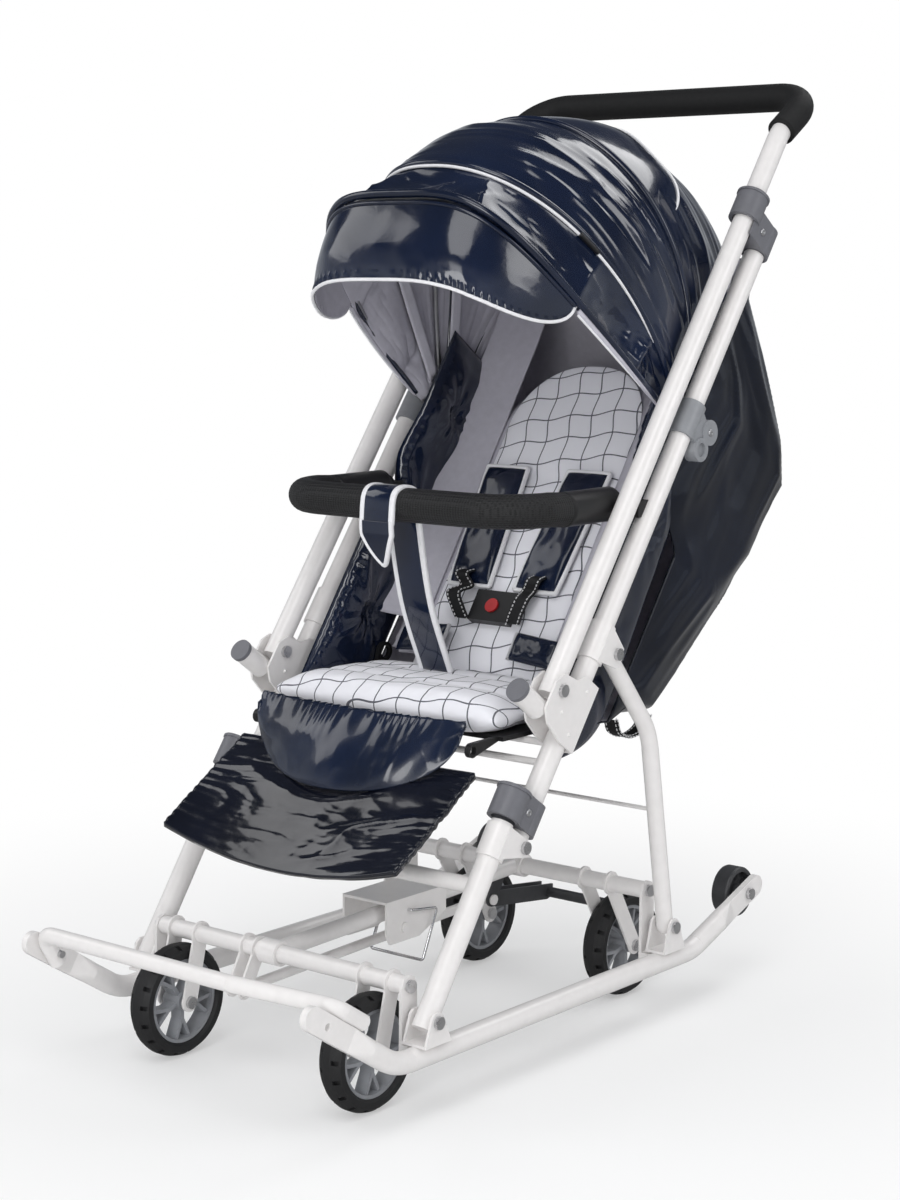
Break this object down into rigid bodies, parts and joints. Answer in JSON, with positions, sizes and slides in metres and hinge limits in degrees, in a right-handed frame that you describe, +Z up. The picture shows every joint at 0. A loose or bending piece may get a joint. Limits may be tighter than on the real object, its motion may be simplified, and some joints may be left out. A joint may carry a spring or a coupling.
{
  "type": "sled stroller",
  "caption": "Folding pram on sled runners with retractable road wheels, a reversible push handle, a padded seat with harness, a bumper bar and a folding hood.",
  "frame": {"origin": "on the floor, half way between the sides, under the middle of the length", "axes": "+Z up, -Y the way the child faces, +X to the child's left"},
  "size_m": [0.4544, 0.9434, 1.1061],
  "materials": {
    "white_paint": "gloss white powder coat",
    "steel": "zinc plated",
    "chrome_wire": "bright plated wire",
    "grey_plastic": "satin moulded grey",
    "dark_grey_plastic": "satin moulded dark grey",
    "black_plastic": "satin moulded black",
    "tyre": "matt black rubber",
    "foam": "matt black foam",
    "navy_patent": "coated glossy navy cloth",
    "print_fabric": "white cloth with a grey wavy net print",
    "webbing": "navy padded webbing",
    "red_plastic": "moulded red"
  },
  "bodies": {
    "chassis": {"runners": "white_paint", "front_bar": "white_paint", "runner_brackets": "white_paint", "chassis_bolts": "steel", "spine_tube": "white_paint", "lock_channel": "white_paint"},
    "lock_wire": {"lock_wire": "chrome_wire"},
    "tail_roller_left": {"tail_roller_left": "dark_grey_plastic"},
    "tail_roller_right": {"tail_roller_right": "dark_grey_plastic"},
    "front_wheel_beam": {"front_beam": "white_paint", "front_forks": "white_paint", "front_axle_bolts": "steel"},
    "front_wheel_left": {"front_tyre_left": "tyre", "front_hub_left": "grey_plastic"},
    "front_wheel_right": {"front_tyre_right": "tyre", "front_hub_right": "grey_plastic"},
    "rear_wheel_beam": {"rear_beam": "white_paint", "rear_forks": "white_paint", "pedal_lever": "white_paint", "rear_axle_bolts": "steel"},
    "rear_wheel_left": {"rear_tyre_left": "tyre", "rear_hub_left": "grey_plastic"},
    "rear_wheel_right": {"rear_tyre_right": "tyre", "rear_hub_right": "grey_plastic"},
    "lift_link": {"link_bar": "white_paint"},
    "lower_legs": {"lower_legs": "white_paint", "knee_clips": "white_paint"},
    "rear_legs": {"rear_legs": "white_paint"},
    "main_frame": {"main_tubes": "white_paint", "seat_brackets": "white_paint", "stop_caps": "grey_plastic", "rear_hinge_brackets": "white_paint", "frame_bolts": "steel", "seat_rods": "white_paint", "hood_knuckles": "grey_plastic", "hood_rear": "navy_patent", "seat_board": "black_plastic", "seat_pad": "print_fabric", "back_cover": "navy_patent", "side_panels": "navy_patent", "bumper_frame": "black_plastic", "bumper_foam": "foam", "crotch_strap": "webbing"},
    "lower_collar_left": {"lower_collar_left": "grey_plastic"},
    "lower_collar_right": {"lower_collar_right": "grey_plastic"},
    "handle_collar_left": {"handle_collar_left": "grey_plastic"},
    "handle_collar_right": {"handle_collar_right": "grey_plastic"},
    "handle": {"handle_tube": "white_paint", "handle_grip": "foam"},
    "hood_front": {"hood_front": "navy_patent", "hood_front_hoop": "black_plastic"},
    "hood_middle": {"hood_main": "navy_patent", "hood_main_hoop": "black_plastic"},
    "backrest": {"backrest_pad": "print_fabric", "harness": "webbing", "buckle": "black_plastic"},
    "buckle_button": {"buckle_button": "red_plastic"},
    "footrest": {"footrest": "navy_patent", "footrest_wire": "chrome_wire", "apron": "navy_patent"}
  },
  "joints": [
    {"name": "frame_fold", "type": "hinge", "parent": "chassis", "child": "lower_legs", "pos_m": [0, -0.281, 0.107], "axis": [1, 0, 0], "range_deg": [0, 48.18]},
    {"name": "knee_fold", "type": "hinge", "parent": "lower_legs", "child": "main_frame", "pos_m": [0, -0.1346, 0.2645], "axis": [1, 0, 0], "range_deg": [-77.67, 0]},
    {"name": "rear_leg_fold", "type": "hinge", "parent": "chassis", "child": "rear_legs", "pos_m": [0, 0.157, 0.112], "axis": [1, 0, 0], "range_deg": [0, 17.01]},
    {"name": "wheel_lift", "type": "hinge", "parent": "chassis", "child": "front_wheel_beam", "pos_m": [0, -0.283, 0.1395], "axis": [-1, 0, 0], "range_deg": [-86, 0]},
    {"name": "rear_wheel_lift", "type": "hinge", "parent": "chassis", "child": "rear_wheel_beam", "pos_m": [0, 0.152, 0.152], "axis": [-1, 0, 0], "range_deg": [-86.01, 0]},
    {"name": "link_turn", "type": "hinge", "parent": "front_wheel_beam", "child": "lift_link", "pos_m": [0, -0.308, 0.0962], "axis": [-1, 0, 0], "range_deg": [0, 86.01]},
    {"name": "lock_wire_swing", "type": "hinge", "parent": "chassis", "child": "lock_wire", "pos_m": [0, -0.08, 0.14775], "axis": [1, 0, 0], "range_deg": [-44, 0]},
    {"name": "front_wheel_spin_left", "type": "hinge", "parent": "front_wheel_beam", "child": "front_wheel_left", "pos_m": [0.143, -0.302, 0.064], "axis": [1, 0, 0], "continuous": true},
    {"name": "rear_wheel_spin_left", "type": "hinge", "parent": "rear_wheel_beam", "child": "rear_wheel_left", "pos_m": [0.112, 0.202, 0.064], "axis": [1, 0, 0], "continuous": true},
    {"name": "tail_roller_spin_left", "type": "hinge", "parent": "chassis", "child": "tail_roller_left", "pos_m": [0.187, 0.33415, 0.1145], "axis": [1, 0, 0], "continuous": true},
    {"name": "lower_collar_slide_left", "type": "slide", "parent": "main_frame", "child": "lower_collar_left", "axis": [0, 0.5892, 0.808], "range_m": [0, 0.04]},
    {"name": "handle_collar_slide_left", "type": "slide", "parent": "handle", "child": "handle_collar_left", "axis": [0, 0.5892, 0.808], "range_m": [0, 0.04]},
    {"name": "front_wheel_spin_right", "type": "hinge", "parent": "front_wheel_beam", "child": "front_wheel_right", "pos_m": [-0.143, -0.302, 0.064], "axis": [1, 0, 0], "continuous": true},
    {"name": "rear_wheel_spin_right", "type": "hinge", "parent": "rear_wheel_beam", "child": "rear_wheel_right", "pos_m": [-0.112, 0.202, 0.064], "axis": [1, 0, 0], "continuous": true},
    {"name": "tail_roller_spin_right", "type": "hinge", "parent": "chassis", "child": "tail_roller_right", "pos_m": [-0.187, 0.33415, 0.1145], "axis": [1, 0, 0], "continuous": true},
    {"name": "lower_collar_slide_right", "type": "slide", "parent": "main_frame", "child": "lower_collar_right", "axis": [0, 0.5892, 0.808], "range_m": [0, 0.04]},
    {"name": "handle_collar_slide_right", "type": "slide", "parent": "handle", "child": "handle_collar_right", "axis": [0, 0.5892, 0.808], "range_m": [0, 0.04]},
    {"name": "handle_flip", "type": "hinge", "parent": "main_frame", "child": "handle", "pos_m": [0, -0.06918, 0.42719], "axis": [1, 0, 0], "range_deg": [0, 75]},
    {"name": "hood_fold", "type": "hinge", "parent": "main_frame", "child": "hood_front", "pos_m": [0, 0.213, 0.692], "axis": [-1, 0, 0], "range_deg": [0, 52]},
    {"name": "hood_middle_fold", "type": "hinge", "parent": "main_frame", "child": "hood_middle", "pos_m": [0, 0.213, 0.692], "axis": [-1, 0, 0], "range_deg": [0, 26.01]},
    {"name": "backrest_recline", "type": "hinge", "parent": "main_frame", "child": "backrest", "pos_m": [0, 0.078, 0.412], "axis": [-1, 0, 0], "range_deg": [0, 14]},
    {"name": "buckle_press", "type": "slide", "parent": "backrest", "child": "buckle_button", "axis": [0, 0.829, -0.5592], "range_m": [0, 0.003], "stiffness_N_per_m": 300},
    {"name": "footrest_tilt", "type": "hinge", "parent": "main_frame", "child": "footrest", "pos_m": [0, -0.148, 0.365], "axis": [-1, 0, 0], "range_deg": [0, 32]}
  ],
  "couplings": [
    {"joint": "knee_fold", "follows": "frame_fold", "ratio": -1.6118},
    {"joint": "rear_leg_fold", "follows": "frame_fold", "ratio": 0.35283},
    {"joint": "rear_wheel_lift", "follows": "wheel_lift", "ratio": 1},
    {"joint": "link_turn", "follows": "wheel_lift", "ratio": -1},
    {"joint": "hood_middle_fold", "follows": "hood_fold", "ratio": 0.5}
  ]
}
